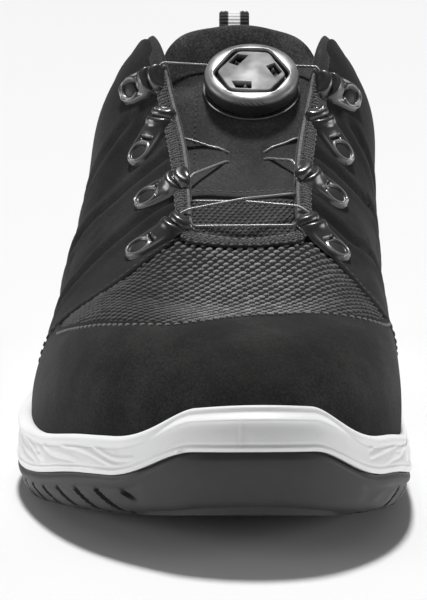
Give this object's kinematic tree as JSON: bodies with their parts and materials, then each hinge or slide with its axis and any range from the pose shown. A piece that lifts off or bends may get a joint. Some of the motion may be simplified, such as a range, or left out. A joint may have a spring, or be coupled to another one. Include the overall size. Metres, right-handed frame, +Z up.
{
  "type": "safety shoe",
  "caption": "Low black safety shoe for the right foot with a mesh vamp, padded collar, white midsole, rubber outsole with toe bumper, and a wire lace tightened by a dial.",
  "frame": {"origin": "on the floor under the middle of the shoe's box", "axes": "-Y to the toe, +Y to the heel, +X to the inner side of the foot, +Z up"},
  "size_m": [0.111, 0.295, 0.1193],
  "materials": {
    "upper_textile": "matt microfibre and open woven mesh",
    "tongue_fabric": "matt napped textile over foam",
    "midsole_foam": "moulded foam, satin",
    "outsole_rubber": "moulded, matt, scuffed at the toe",
    "insole_fabric": "flat knit",
    "guide_plastic": "glossy moulded",
    "dial_cover": "silver metallic paint",
    "lace_wire": "coated stranded wire",
    "loop_webbing": "ribbed webbing with a pale reflective middle stripe"
  },
  "bodies": {
    "root": {"outsole": "outsole_rubber", "midsole": "midsole_foam", "insole": "insole_fabric", "upper": "upper_textile", "tongue": "tongue_fabric", "pull_loop": "loop_webbing", "dial_housing": "guide_plastic", "dial_knob": "guide_plastic", "dial_cap": "dial_cover", "lace_guide_outer_1": "guide_plastic", "lace_guide_outer_2": "guide_plastic", "lace_guide_outer_3": "guide_plastic", "lace_guide_outer_4": "guide_plastic", "lace_guide_inner_1": "guide_plastic", "lace_guide_inner_2": "guide_plastic", "lace_guide_inner_3": "guide_plastic", "lace_guide_inner_4": "guide_plastic", "lace_cross_upper": "lace_wire", "lace_cross_lower": "lace_wire", "lace_bar": "lace_wire", "lace_dial_outer": "lace_wire", "lace_dial_inner": "lace_wire"}
  },
  "joints": []
}
